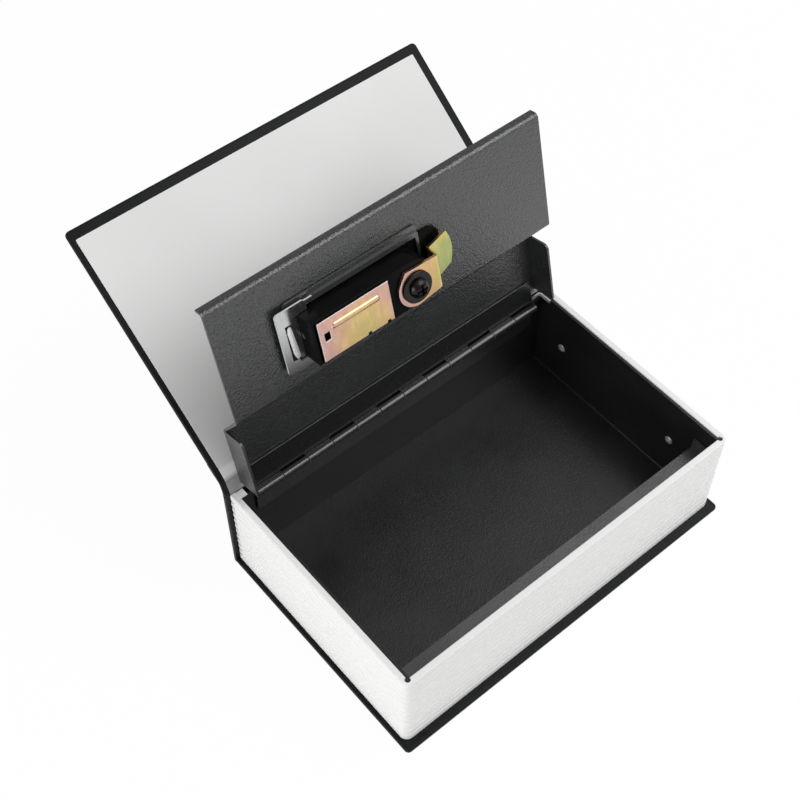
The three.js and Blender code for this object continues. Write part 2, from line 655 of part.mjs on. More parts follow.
// Number dial: ten flats with a finger groove between neighbours
function dialOutline() {
  const shape = new THREE.Shape();
  const step = (Math.PI * 2) / DIAL_FACES;
  for (let i = 0; i < DIAL_FACES; i += 1) {
    const marks = [[-0.36, 1], [0.36, 1], [0.5, 0.93]];
    marks.forEach(([turn, size]) => {
      const angle = (i + turn) * step;
      const x = Math.cos(angle) * DIAL_RADIUS * size;
      const y = Math.sin(angle) * DIAL_RADIUS * size;
      if (i === 0 && turn < 0) shape.moveTo(x, y);
      else shape.lineTo(x, y);
    });
  }
  return shape;
}

function dials() {
  const y = LOCK_Y;
  dialPlaces().forEach((x, i) => {
    const bore = bar(AXLE + FIT, 'x', x - DIAL_PITCH, x + DIAL_PITCH, 0, 0, 12);
    const wheel = drawnOut(dialOutline(), x - DIAL_WIDTH / 2, x + DIAL_WIDTH / 2);
    add(lid, `number_dial_${i + 1}`, cut(wheel, bore).translate([0, y, DIAL_Z]), BLACK_PLASTIC);
    const from = x + DIAL_WIDTH / 2 + FIT;
    const disc = bar(TUMBLER_RADIUS, 'x', from, from + TUMBLER_WIDTH, 0, 0, 20);
    const gateHalf = TUMBLER_RADIUS / 4;
    const gate = block(from - TUMBLER_WIDTH, from + 2 * TUMBLER_WIDTH,
      TUMBLER_RADIUS * 0.65, TUMBLER_RADIUS * 1.25, -gateHalf, gateHalf);
    add(lid, `tumbler_${i + 1}`, cut(disc, gate, bore).translate([0, y, DIAL_Z]), ZINC);
  });
}

// Detent spring: a leaf with a bowed finger for each dial
function detentSpring() {
  const leaf = SPRING_LEAF;
  const wall = LOCK_Y - HOUSING_WIDTH / 2 + HOUSING_WALL + leaf * 0.7;
  const middle = wall + leaf / 2;
  const low = DIAL_Z - SPRING_BELOW;
  const high = DIAL_Z + SPRING_ABOVE;
  const foot = low + SPRING_SPINE;
  const places = dialPlaces();
  const from = places[0] - DIAL_WIDTH / 2;
  const to = places[DIALS - 1] + DIAL_WIDTH / 2;
  const spine = block(from, to, wall, wall + leaf, low, foot);
  const bow = sheetSection([
    at(middle, low + SPRING_SPINE * 0.8), at(middle, low + SPRING_SPINE * 1.28), at(wall + SPRING_LIFT, DIAL_Z),
    at(middle, high - SPRING_ABOVE / 3), at(middle, high)], leaf, leaf * 1.6);
  const half = SPRING_FINGER / 2;
  const fingers = places.map((x) => drawnOut(bow, x - half, x + half));
  add(lid, 'detent_spring', join(spine, ...fingers), CHROME);
}

// Cover plate: passivated zinc sheet with a pressed rib, a window and lugs on its lower edge
function lockCover() {
  const y = LOCK_Y;
  const left = HOUSING_LEFT + HOUSING_WALL + 0.7;
  const right = CAVITY_END - 0.3;
  const half = HOUSING_WIDTH / 2 - 1.1;
  const top = HOUSING_END - FIT;
  const plate = block(left, right, y - half, y + half, COVER_PLATE_FACE, top);
  const ribY = y - half + RIB_IN;
  const rib = new THREE.CapsuleGeometry(RIB_RADIUS, RIB_LENGTH, 3, 8);
  rib.rotateZ(Math.PI / 2).scale(1, 1, RIB_HEIGHT / RIB_RADIUS);
  rib.translate(left + RIB_START + RIB_LENGTH / 2, ribY, COVER_PLATE_FACE);
  const ribCut = block(left, right, ribY - 2, ribY + 2, COVER_PLATE_FACE + COVER_PLATE / 2, top + 2);
  const windowX = left + 2.3;
  const window = block(windowX, windowX + 2.6, y - 3.3, y + 0.5, COVER_PLATE_FACE - 2, top + 2);
  const notches = [0.62, 0.9].map((t) => {
    const x = left + t * (right - left);
    return block(x, x + 1.6, y + half - 1, y + half + 1, COVER_PLATE_FACE - 1, top + 1);
  });
  const pressed = cut(toSolid(rib), ribCut);
  add(lid, 'lock_cover_plate', join(cut(plate, window, ...notches), pressed), ZINC);
}

// Frame round the lock: a stamped band with a low collar
function lockFrame() {
  const y = LOCK_Y;
  const left = HOUSING_LEFT - 4.2;
  const right = SPINDLE_X + HOUSING_WIDTH / 2 + FIT + COLLAR_END;
  const half = FRAME_WIDTH / 2;
  const inner = half - FRAME_BAND;
  const face = PLATE_FACE - FIT;
  const band = roundedOutline(left, right, y - half, y + half, 1.5);
  const collarOuter = roundedOutline(left + 2, right, y - inner - COLLAR_WALL, y + inner + COLLAR_WALL, 1);
  const opening = roundedOutline(left + 2 + COLLAR_WALL, right - COLLAR_END, y - inner, y + inner, 0.8);
  const flat = raised(band, face - FRAME_STEP, face);
  const collar = raised(collarOuter, PLATE_FACE - COLLAR_HEIGHT, face - FRAME_STEP / 2);
  const hole = raised(opening, HOUSING_END, PLATE_FACE + 2);
  add(lid, 'lock_frame', cut(join(flat, collar), hole, housingLug(FIT)), HAMMERTONE);
}

// Retaining clip: a sprung fork pushed over the housing from its dial end
function retainingClip() {
  const y = -CLIP_FROM_PIN;
  const left = HOUSING_LEFT - CLIP_BEYOND;
  const half = CLIP_WIDTH / 2;
  const top = PLATE_FACE - COLLAR_HEIGHT - FIT;
  const outline = roundedOutline(left, left + CLIP_REACH, y - half, y + half, 1.5);
  const plate = raised(outline, top - CLIP, top);
  const arm = block(left + 4, left + CLIP_REACH + 3.5, y - half + 0.6, y - half + 2.6, top - CLIP, top);
  const gap = roundedOutline(left + CLIP_ARM, left + 2 * CLIP_REACH,
    LOCK_Y - HOUSING_WIDTH / 2 - FIT, LOCK_Y + HOUSING_WIDTH / 2 + FIT, 1);
  const hole = raised(gap, top - 5, top + 5);
  const lip = left + CLIP_ARM - CLIP;
  const tongue = block(lip, lip + CLIP, y - TONGUE_WIDTH / 2, y + TONGUE_WIDTH / 2, top - CLIP - TONGUE_RISE, top);
  add(lid, 'retaining_clip', join(cut(join(plate, arm), hole), tongue), CHROME);
}

// Knob outside, spindle through the lock, cam lever and its screw inside
function knobAndCam() {
  const y = SPINDLE_Y;
  const knobUnder = BEZEL_FACE + FIT;
  const profile = [
    at(0, knobUnder), at(KNOB_RADIUS, knobUnder), at(KNOB_RADIUS, knobUnder + KNOB_BASE * 0.6),
    at(KNOB_RADIUS - 1, knobUnder + KNOB_BASE), at(0, knobUnder + KNOB_BASE)];
  const disc = new THREE.LatheGeometry(profile, 32);
  disc.rotateX(Math.PI / 2).translate(SPINDLE_X, y, 0);
  const grip = roundedOutline(
    SPINDLE_X - KNOB_RADIUS + 0.8, SPINDLE_X + KNOB_RADIUS - 0.8,
    y - GRIP_WIDTH / 2, y + GRIP_WIDTH / 2, GRIP_WIDTH / 2 - 0.1);
  const bar1 = raised(grip, knobUnder + KNOB_BASE / 2, knobUnder + KNOB_HEIGHT);
  add(lid, 'turn_knob', join(toSolid(disc), bar1), BLACK_PLASTIC);

  const spindleEnd = CAM_FACE + 0.2;
  const shaft = bar(SPINDLE, 'z', CAM_TOP + FIT, BEZEL_FACE, SPINDLE_X, y);
  const square = block(SPINDLE_X - 2.8, SPINDLE_X + 2.8, y - 2.8, y + 2.8, spindleEnd, CAM_TOP + 1);
  const threadEnd = CAM_FACE - 2 * FIT - WASHER_THICKNESS + SCREW_LENGTH + FIT;
  const thread = bar(SCREW_SHANK + FIT, 'z', spindleEnd - 1, threadEnd, SPINDLE_X, y, 12);
  add(lid, 'knob_spindle', cut(join(shaft, square), thread), BLACK_PLASTIC);

  add(lid, 'cam_lever', camLever(), ZINC);

  const washer = bar(WASHER, 'z', CAM_FACE - FIT - WASHER_THICKNESS, CAM_FACE - FIT, SPINDLE_X, y, 28);
  const washerHole = bar(SCREW_SHANK + FIT, 'z', CAM_FACE - 4, CAM_FACE + 4, SPINDLE_X, y, 12);
  add(lid, 'cam_washer', cut(washer, washerHole), BLACK_PLASTIC);

  add(lid, 'cam_screw', camScrew(), BLACK_PLASTIC);
}

// Cam lever: one folded strip, trimmed to a round end on the spindle and a hooked blade
// that turns in under the ledge
function camLever() {
  const y = SPINDLE_Y;
  const bend = SPINDLE_X + CAM_JOGGLE;
  const root = bend + CAM_SLANT;
  const flat = (CAM_FACE + CAM_TOP) / 2;
  const low = PLATE_FACE - BLADE_HEIGHT - CAM / 2;
  const fold = sheetSection([
    at(SPINDLE_X - 2 * CAM_END, flat), at(bend, flat), at(root, low), at(SPINDLE_X + 2 * CAM_REACH, low)],
  CAM, CAM);
  const strip = drawnOut(fold, -2 * CAM_END, 2 * CAM_END).rotate([0, 0, -90]).translate([0, y, 0]);

  const plan = new THREE.Shape();
  const polar = (degrees, reach) => {
    const angle = THREE.MathUtils.degToRad(degrees);
    return [SPINDLE_X + reach * Math.cos(angle), y + reach * Math.sin(angle)];
  };
  plan.moveTo(SPINDLE_X - CAM_END / 2, y - CAM_END);
  plan.lineTo(bend, y - CAM_END * 0.93);
  plan.lineTo(root + CAM / 2, y - CAM_END * 0.75);
  plan.lineTo(...polar(-22, CAM_REACH * 0.99));
  plan.lineTo(...polar(-13.5, CAM_REACH));
  plan.lineTo(...polar(-4.5, CAM_REACH));
  plan.lineTo(...polar(5, CAM_REACH * 0.985));
  plan.lineTo(...polar(14.5, CAM_REACH * 0.965));
  plan.lineTo(...polar(26.5, CAM_REACH * 0.79));
  plan.lineTo(root, y + CAM_END * 0.82);
  plan.lineTo(bend, y + CAM_END * 0.82);
  plan.lineTo(SPINDLE_X, y + CAM_END);
  plan.absarc(SPINDLE_X, y, CAM_END, Math.PI / 2, Math.PI * 1.16);
  const seat = block(SPINDLE_X - 3.1, SPINDLE_X + 3.1, y - 3.1, y + 3.1, CAM_FACE - 2, CAM_TOP + 2);
  return cut(strip.intersect(raised(plan, CAM_FACE - 1, 0, 14)), seat);
}

function camScrew() {
  const y = SPINDLE_Y;
  const under = CAM_FACE - 2 * FIT - WASHER_THICKNESS;
  const head = SCREW_HEAD_HEIGHT;
  const profile = [
    at(0, -head), at(SCREW_HEAD * 0.55, -head * 0.92), at(SCREW_HEAD * 0.85, -head * 0.6),
    at(SCREW_HEAD, -head * 0.15), at(SCREW_HEAD, 0), at(SCREW_SHANK, 0), at(SCREW_SHANK, SCREW_LENGTH),
    at(0, SCREW_LENGTH)];
  const geometry = new THREE.LatheGeometry(profile, 24);
  geometry.rotateX(Math.PI / 2).translate(SPINDLE_X, y, under);
  const arms = [[2.6, 0.55], [0.55, 2.6]].map(([a, b]) =>
    block(SPINDLE_X - a, SPINDLE_X + a, y - b, y + b, under - head - 1, under - head * 0.35));
  return cut(toSolid(geometry), ...arms);
}

bookCase();
pageBlock();
tray();
trayFront();
rivets();
hinge();
lidSheet();
lockFrame();
lockHousing();
lockBezel();
dials();
detentSpring();
lockingSlide();
lockCover();
retainingClip();
knobAndCam();

export default book;
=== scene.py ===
import math

import bpy
from mathutils import Matrix, Vector


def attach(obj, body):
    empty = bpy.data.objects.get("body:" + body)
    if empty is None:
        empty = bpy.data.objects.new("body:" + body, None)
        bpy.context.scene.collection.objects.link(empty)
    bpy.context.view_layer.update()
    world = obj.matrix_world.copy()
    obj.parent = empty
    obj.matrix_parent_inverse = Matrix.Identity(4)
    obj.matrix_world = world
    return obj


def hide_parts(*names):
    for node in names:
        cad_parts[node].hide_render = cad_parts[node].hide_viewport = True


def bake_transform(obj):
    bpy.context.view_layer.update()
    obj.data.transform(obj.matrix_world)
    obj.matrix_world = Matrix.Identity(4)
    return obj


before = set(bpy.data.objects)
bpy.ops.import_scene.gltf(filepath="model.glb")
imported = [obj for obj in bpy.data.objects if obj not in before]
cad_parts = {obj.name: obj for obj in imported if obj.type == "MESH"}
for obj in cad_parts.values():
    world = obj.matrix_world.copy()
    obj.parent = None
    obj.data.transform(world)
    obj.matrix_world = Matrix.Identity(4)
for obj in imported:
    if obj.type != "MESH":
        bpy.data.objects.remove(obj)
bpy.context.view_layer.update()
bpy.ops.object.select_all(action="DESELECT")


# The hard case. Three boards, for the back, the spine and the front, are covered in
# black grained leatherette, which is turned over their edges and glued down.
def paint_nodes(name, roughness, metallic=0.0):
    """A new finish with its nodes, its shader and the place that its patterns follow."""
    finish = bpy.data.materials.new(name)
    finish.use_nodes = True
    tree = finish.node_tree
    shader = tree.nodes["Principled BSDF"]
    shader.inputs["Roughness"].default_value = roughness
    shader.inputs["Metallic"].default_value = metallic
    place = tree.nodes.new("ShaderNodeTexCoord")
    return finish, tree, shader, place.outputs["Object"]


def noise_over(tree, place, scale, detail=4.0, stretch=None):
    """Soft blotches, about 1 / scale metres wide."""
    if stretch:
        mapping = tree.nodes.new("ShaderNodeMapping")
        mapping.inputs["Scale"].default_value = stretch
        tree.links.new(place, mapping.inputs["Vector"])
        place = mapping.outputs["Vector"]
    noise = tree.nodes.new("ShaderNodeTexNoise")
    noise.inputs["Scale"].default_value = scale
    noise.inputs["Detail"].default_value = detail
    tree.links.new(place, noise.inputs["Vector"])
    return noise.outputs["Fac"]


def cells_over(tree, place, scale, smoothness=0.6):
    """Rounded pebbles, about 1 / scale metres wide."""
    cells = tree.nodes.new("ShaderNodeTexVoronoi")
    cells.feature = "SMOOTH_F1"
    cells.inputs["Scale"].default_value = scale
    cells.inputs["Smoothness"].default_value = smoothness
    tree.links.new(place, cells.inputs["Vector"])
    return cells.outputs["Distance"]


def colours_by(tree, shader, amount, stops):
    """Colours the finish by amount, through the stops given as amount and colour."""
    ramp = tree.nodes.new("ShaderNodeValToRGB")
    elements = ramp.color_ramp.elements
    while len(elements) < len(stops):
        elements.new(0.5)
    for element, (position, colour) in zip(elements, stops):
        element.position = position
        element.color = (*colour, 1.0)
    tree.links.new(amount, ramp.inputs["Fac"])
    tree.links.new(ramp.outputs["Color"], shader.inputs["Base Color"])


def ranged(tree, amount, start, end, low, high):
    """Turns amounts from start to end into low to high, and goes no further."""
    spread = tree.nodes.new("ShaderNodeMapRange")
    spread.inputs["From Min"].default_value = start
    spread.inputs["From Max"].default_value = end
    spread.inputs["To Min"].default_value = low
    spread.inputs["To Max"].default_value = high
    tree.links.new(amount, spread.inputs["Value"])
    return spread.outputs["Result"]


NOISE_LOW = 0.3
NOISE_HIGH = 0.7


def gloss_by(tree, shader, noise, low, high):
    """Lets the roughness go from low to high with noise."""
    roughness = ranged(tree, noise, NOISE_LOW, NOISE_HIGH, low, high)
    tree.links.new(roughness, shader.inputs["Roughness"])


def relief(tree, shader, *layers):
    """Raises the surface by layers, each given as its pattern and its depth in metres."""
    normal = None
    for height, depth in layers:
        bump = tree.nodes.new("ShaderNodeBump")
        bump.inputs["Strength"].default_value = 1.0
        bump.inputs["Distance"].default_value = depth
        tree.links.new(height, bump.inputs["Height"])
        if normal:
            tree.links.new(normal, bump.inputs["Normal"])
        normal = bump.outputs["Normal"]
    tree.links.new(normal, shader.inputs["Normal"])


def leatherette():
    finish, tree, shader, place = paint_nodes("black_leatherette", roughness=0.5)
    shader.inputs["Specular IOR Level"].default_value = 0.14
    broad = noise_over(tree, place, scale=90.0)
    dark, light = (0.0062, 0.0074, 0.0072), (0.011, 0.0128, 0.0125)
    colours_by(tree, shader, broad, [(0.3, dark), (0.7, light)])
    gloss_by(tree, shader, broad, low=0.42, high=0.56)
    grain = cells_over(tree, place, scale=1700.0)
    crease = noise_over(tree, place, scale=700.0, detail=6.0)
    relief(tree, shader, (grain, 0.00009), (crease, 0.00007))
    return finish


LEATHERETTE = leatherette()
MERGED_WITHIN = 2e-6
NO_WIDTH = 1e-6
FLAT_WITHIN = math.radians(0.5)


def eased(node, body, finish, edge, smooth=35.0, edge_highlight=None, sharp=34.0, reshaped=None):
    """Copies a formed part and takes edge metres off its corners, which may get a paler finish.

    Corners sharper than sharp degrees are taken off, and the finish edge_highlight, a painted
    highlight, goes on them.
    Those of less than smooth degrees are shaded round. reshaped changes the copy first.
    """
    piece = bpy.data.objects.new(node + "_made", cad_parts[node].data.copy())
    bpy.context.scene.collection.objects.link(piece)
    bpy.ops.object.select_all(action="DESELECT")
    piece.select_set(True)
    bpy.context.view_layer.objects.active = piece
    bpy.ops.mesh.customdata_custom_splitnormals_clear()
    bpy.ops.object.mode_set(mode="EDIT")
    bpy.ops.mesh.select_all(action="SELECT")
    bpy.ops.mesh.remove_doubles(threshold=MERGED_WITHIN)
    bpy.ops.mesh.dissolve_limited(angle_limit=FLAT_WITHIN)
    bpy.ops.object.mode_set(mode="OBJECT")
    if reshaped:
        reshaped(piece)
    bpy.ops.object.shade_smooth_by_angle(angle=math.radians(smooth))
    piece.data.materials.clear()
    piece.data.materials.append(finish)
    if edge_highlight:
        piece.data.materials.append(edge_highlight)
    if edge:
        bevel = piece.modifiers.new("eased_edges", "BEVEL")
        bevel.width = edge
        bevel.segments = 2
        bevel.limit_method = "ANGLE"
        bevel.angle_limit = math.radians(sharp)
        bevel.harden_normals = True
        bevel.material = 1 if edge_highlight else -1
        bpy.ops.object.modifier_apply(modifier=bevel.name)
        bpy.ops.object.mode_set(mode="EDIT")
        bpy.ops.mesh.select_all(action="SELECT")
        bpy.ops.mesh.dissolve_degenerate(threshold=NO_WIDTH)
        bpy.ops.object.mode_set(mode="OBJECT")
    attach(piece, body)
    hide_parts(node)
    piece.select_set(False)
    return piece


eased("back_cover", "case", LEATHERETTE, edge=0.00025)
eased("spine_board", "case", LEATHERETTE, edge=0.00025)
eased("front_cover", "cover", LEATHERETTE, edge=0.00025)


# The joints of the case. The leatherette runs from board to board without a break: in a
# fixed corner under the spine, and as a soft band over it.
def drawn_out(name, outline, half_depth, soft, place):
    """Fills a flat outline, draws it out to both sides with soft rims, and sets it in place."""
    bpy.ops.object.select_all(action="DESELECT")
    flat = bpy.data.curves.new(name + "_outline", "CURVE")
    flat.dimensions = "2D"
    flat.fill_mode = "BOTH"
    flat.extrude = half_depth - soft
    flat.bevel_depth = soft
    flat.bevel_resolution = 1
    flat.offset = -soft
    rim = flat.splines.new("POLY")
    rim.points.add(len(outline) - 1)
    rim.use_cyclic_u = True
    for point, (across, up) in zip(rim.points, outline):
        point.co = (across, up, 0.0, 1.0)
    piece = bpy.data.objects.new(name, flat)
    bpy.context.scene.collection.objects.link(piece)
    piece.select_set(True)
    bpy.context.view_layer.objects.active = piece
    bpy.ops.object.convert(target="MESH")
    piece = bpy.context.object
    piece.matrix_world = place
    bpy.ops.object.transform_apply(location=True, rotation=True, scale=True)
    bpy.ops.object.mode_set(mode="EDIT")
    bpy.ops.mesh.select_all(action="SELECT")
    bpy.ops.mesh.remove_doubles(threshold=MERGED_WITHIN)
    bpy.ops.mesh.normals_make_consistent(inside=False)
    bpy.ops.object.mode_set(mode="OBJECT")
    bpy.ops.object.shade_smooth_by_angle(angle=math.radians(40))
    piece.select_set(False)
    return piece


def along_at(line, index):
    """The direction of line where it passes one of its places."""
    before = line[max(index - 1, 0)]
    after = line[min(index + 1, len(line) - 1)]
    return Vector((after[0] - before[0], after[1] - before[1])).normalized()


def section_of(line):
    """The outline of a strip along line, whose places are across, up and thickness."""
    ring = []
    for side in (1, -1):
        for index in range(len(line))[::side]:
            across, up, thick = line[index]
            along = along_at(line, index)
            ring.append((across + side * along.y * thick / 2, up - side * along.x * thick / 2))
    return ring


ALONG_SPINE = Matrix.Rotation(math.radians(90), 4, "Z") @ Matrix.Rotation(math.radians(90), 4, "X")
BOARD_HALF_LENGTH = 0.09
LEATHER_ROUNDING = 0.0003

BACK_JOINT = [(0.05745, 0.0060, 0.0020), (0.05745, 0.0013, 0.0020), (0.0530, 0.0013, 0.0020)]
back_joint = drawn_out(
    "back_joint", section_of(BACK_JOINT), BOARD_HALF_LENGTH, LEATHER_ROUNDING, ALONG_SPINE
)
back_joint.data.materials.append(LEATHERETTE)
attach(back_joint, "case")

JOINT_BAND = [
    (0.05745, 0.0495, 0.00200), (0.05745, 0.0515, 0.00200), (0.05750, 0.0526, 0.00195),
    (0.05780, 0.0536, 0.00160), (0.05820, 0.0546, 0.00130), (0.05850, 0.0556, 0.00120),
    (0.05880, 0.0567, 0.00120), (0.05920, 0.0577, 0.00125), (0.05975, 0.0586, 0.00140),
    (0.06045, 0.0594, 0.00170), (0.06125, 0.0601, 0.00200), (0.06205, 0.0607, 0.00225),
    (0.06285, 0.0613, 0.00250), (0.06365, 0.0619, 0.00250), (0.06524, 0.0631, 0.00250),
    (0.06684, 0.0643, 0.00250),
]
joint_band = drawn_out(
    "joint_band", section_of(JOINT_BAND), BOARD_HALF_LENGTH, LEATHER_ROUNDING, ALONG_SPINE
)
joint_band.data.materials.append(LEATHERETTE)
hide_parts("spine_joint_cloth", "cover_joint_cloth")
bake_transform(joint_band)


# The endpaper. A pale sheet is pasted inside the front board, runs over the joint and
# goes down inside the spine. It leaves a narrow black border of turned-in leatherette.
def pale_paper():
    finish, tree, shader, place = paint_nodes("pale_endpaper", roughness=0.55)
    broad = noise_over(tree, place, scale=14.0, detail=2.0)
    dark, light = (0.74, 0.74, 0.735), (0.79, 0.79, 0.785)
    colours_by(tree, shader, broad, [(0.3, dark), (0.7, light)])
    fibre = noise_over(tree, place, scale=2400.0)
    relief(tree, shader, (fibre, 0.00002))
    return finish


eased("front_endpaper", "cover", pale_paper(), edge=0.0)

LINING_HALF_LENGTH = 0.08655
LINING_MIDDLE = -0.00105
PAPER = 0.00014
PAPER_GAP = 0.00006
PAPER_ROUNDING = 0.00003
# Heights over which the painted shade of the crease fades out, and how much of it is blotched.
CREASE_SHADE_BOTTOM = 0.0568
CREASE_SHADE_TOP = 0.0606
SHADE_SMUDGE_SHARE = 0.2308


def beside(line, gap, thick):
    """The line of a sheet that lies on the inner side of line, with a gap between them."""
    laid = []
    for index, (across, up, under) in enumerate(line):
        along = along_at(line, index)
        away = under / 2 + gap + thick / 2
        laid.append((across - along.y * away, up + along.x * away, thick))
    return laid


def worked_out(tree, operation, *terms):
    """The result of a sum, whose terms are numbers or other nodes' results."""
    node = tree.nodes.new("ShaderNodeMath")
    node.operation = operation
    for socket, term in zip(node.inputs, terms):
        if isinstance(term, float):
            socket.default_value = term
        else:
            tree.links.new(term, socket)
    return node.outputs["Value"]


def by_height(tree, place, bottom, top, most=1.0):
    """Rises from nought at the height bottom to most at the height top."""
    parts = tree.nodes.new("ShaderNodeSeparateXYZ")
    tree.links.new(place, parts.inputs["Vector"])
    return ranged(tree, parts.outputs["Z"], bottom, top, 0.0, most)


def creased_paper():
    """Painted shade: the sheet greys softly from the cover's endpaper down into the crease,
    blotched by a smudge of painted shade.
    """
    finish, tree, shader, place = paint_nodes("joint_lining_painted_shade", roughness=0.55)
    shade_smudge = noise_over(tree, place, scale=120.0, detail=2.0)
    rise = by_height(tree, place, CREASE_SHADE_BOTTOM, CREASE_SHADE_TOP, most=1.0 - SHADE_SMUDGE_SHARE)
    level = worked_out(tree, "MULTIPLY_ADD", shade_smudge, SHADE_SMUDGE_SHARE, rise)
    # inside and crease are the greys of the painted shade in the joint's valley.
    inside, crease, paper = (0.3, 0.3, 0.295), (0.26, 0.26, 0.255), (0.74, 0.74, 0.735)
    colours_by(tree, shader, level, [(0.1538, inside), (0.4231, crease), (0.8462, paper)])
    return finish


lining_line = beside(JOINT_BAND[1:14], PAPER_GAP, PAPER)
LINING_PLACE = Matrix.Translation((LINING_MIDDLE, 0, 0)) @ ALONG_SPINE
joint_lining = drawn_out(
    "joint_lining", section_of(lining_line), LINING_HALF_LENGTH, PAPER_ROUNDING, LINING_PLACE
)
joint_lining.data.materials.append(creased_paper())
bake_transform(joint_lining)


# The page block. One white plastic moulding stands for the pages: three walls with page
# lines, on a floor that the back cover is glued to, and a thin lug at the left rear corner.
PAGE_WHITE = (0.86, 0.86, 0.852)
PAGE_GREY = (0.842, 0.842, 0.836)
SHEETS = (1.5, 1.5, 480.0)


def page_plastic():
    finish, tree, shader, place = paint_nodes("white_page_plastic", roughness=0.42)
    sheets = noise_over(tree, place, scale=1.0, detail=0.0, stretch=SHEETS)
    colours_by(tree, shader, sheets, [(0.36, PAGE_GREY), (0.46, PAGE_WHITE)])
    relief(tree, shader, (sheets, 0.000008))
    return finish


PAGE_WALL = 0.088
SPINE_END = 0.05605
PAGE_LINES = 11
FIRST_LINE = 0.00688
LINE_PITCH = 0.004084
NOTCH_RADIUS = 0.0024
NOTCH_DEPTH = 0.0034
NOTCH_FLATTENED = 0.48


def notch_at_spine(piece):
    """Cuts a small wedge where each moulded page line runs out at the spine."""
    bpy.ops.mesh.primitive_cylinder_add(
        vertices=3, radius=NOTCH_RADIUS, depth=NOTCH_DEPTH, rotation=(0, math.radians(90), 0)
    )
    wedge = bpy.context.object
    bpy.ops.object.transform_apply(location=False, rotation=True, scale=False)
    bpy.ops.object.mode_set(mode="EDIT")
    bpy.ops.mesh.select_all(action="SELECT")
    bpy.ops.transform.rotate(
        value=math.radians(-90), orient_axis="X", center_override=(0, 0, 0)
    )
    bpy.ops.transform.resize(value=(1, 1, NOTCH_FLATTENED), center_override=(0, 0, 0))
    bpy.ops.object.mode_set(mode="OBJECT")
    for side in (-1, 1):
        for count in range(PAGE_LINES):
            height = FIRST_LINE + LINE_PITCH * count
            wedge.location = (side * PAGE_WALL, SPINE_END, height)
            cut = piece.modifiers.new("notch", "BOOLEAN")
            cut.operation = "DIFFERENCE"
            cut.object = wedge
            bpy.context.view_layer.objects.active = piece
            bpy.context.view_layer.update()
            bpy.ops.object.modifier_apply(modifier=cut.name)
    bpy.data.objects.remove(wedge)
    piece.select_set(True)


PAGE_PLASTIC = page_plastic()
eased(
    "page_block", "case", PAGE_PLASTIC,
    edge=0.00012, smooth=50.0, reshaped=notch_at_spine,
)

LUG = [(-0.0865, 0.0540, 0.0036), (-0.0821, 0.0540, 0.0036)]
LUG_PLACE = Matrix.Translation((0, 0, 0.05155))
corner_lug = drawn_out(
    "corner_lug", section_of(LUG), half_depth=0.0003, soft=0.00012, place=LUG_PLACE
)
corner_lug.data.materials.append(PAGE_PLASTIC)
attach(corner_lug, "case")


# The tray. Black painted sheet steel is folded to a trough with a back wall, a second
# sheet closes the front and turns in as the ledge that the lid and cam use, and rivets
# and a hooked tab at the right rear corner hold it in the page block.
def enamel(name, dark, light, gloss, roughness, peel):
    """Stoved enamel, with a skin of fine drops as deep as peel."""
    finish, tree, shader, place = paint_nodes(name, roughness)
    shader.inputs["IOR"].default_value = 1.8
    shader.inputs["Specular IOR Level"].default_value = gloss
    broad = noise_over(tree, place, scale=40.0)
    colours_by(tree, shader, broad, [(0.35, dark), (0.65, light)])
    gloss_by(tree, shader, broad, low=roughness - 0.03, high=roughness + 0.04)
    drops = noise_over(tree, place, scale=1700.0, detail=2.0)
    ripple = noise_over(tree, place, scale=850.0, detail=1.0)
    relief(tree, shader, (drops, peel), (ripple, peel))
    return finish


def rubbed_paint(name, dark, light):
    """Paler paint on an edge as painted highlight, in greys from dark to light."""
    finish, tree, shader, place = paint_nodes(name, roughness=0.5)
    patchy = noise_over(tree, place, scale=300.0, detail=5.0)
    colours_by(tree, shader, patchy, [(0.35, (dark, dark, dark)), (0.65, (light, light, light))])
    gloss_by(tree, shader, patchy, low=0.45, high=0.6)
    return finish


# Paler greys on the bevels of the lid, the front sheet and the tray's hinge leaf: painted
# highlight.
EDGE_HIGHLIGHT_ENAMEL = rubbed_paint("enamel_edge_painted_highlight", dark=0.06, light=0.11)
BLACK_ENAMEL = enamel(
    "black_enamel", dark=(0.0075, 0.0078, 0.008), light=(0.011, 0.0114, 0.0118),
    gloss=0.3, roughness=0.3, peel=0.00005,
)
GREY_ENAMEL = enamel(
    "grey_textured_enamel", dark=(0.018, 0.019, 0.019), light=(0.023, 0.0245, 0.0245),
    gloss=0.6, roughness=0.26, peel=0.0002,
)
# A lighter copy of the lid's grey enamel for the front sheet and its ledge: painted light.
LIT_LEDGE_ENAMEL = enamel(
    "ledge_enamel_painted_light", dark=(0.036, 0.0375, 0.0375), light=(0.043, 0.045, 0.045),
    gloss=0.6, roughness=0.26, peel=0.00003,
)

eased("tray", "case", BLACK_ENAMEL, edge=0.00015)
eased("tray_front", "case", LIT_LEDGE_ENAMEL, edge=0.0002, edge_highlight=EDGE_HIGHLIGHT_ENAMEL)


def plain_steel(name, scale, dark, light, low, high):
    """Dull steel with wear in blotches, from dark to light and from low to high roughness."""
    finish, tree, shader, place = paint_nodes(name, (low + high) / 2, metallic=0.5)
    wear = noise_over(tree, place, scale)
    colours_by(tree, shader, wear, [(0.35, dark), (0.65, light)])
    gloss_by(tree, shader, wear, low, high)
    return finish


RIVET_STEEL = plain_steel(
    "dull_rivet_steel", scale=900.0, dark=(0.34, 0.34, 0.34), light=(0.6, 0.6, 0.59),
    low=0.3, high=0.5,
)
for count in (1, 2, 3, 4):
    eased(f"tray_rivet_{count}", "case", RIVET_STEEL, edge=0.0)

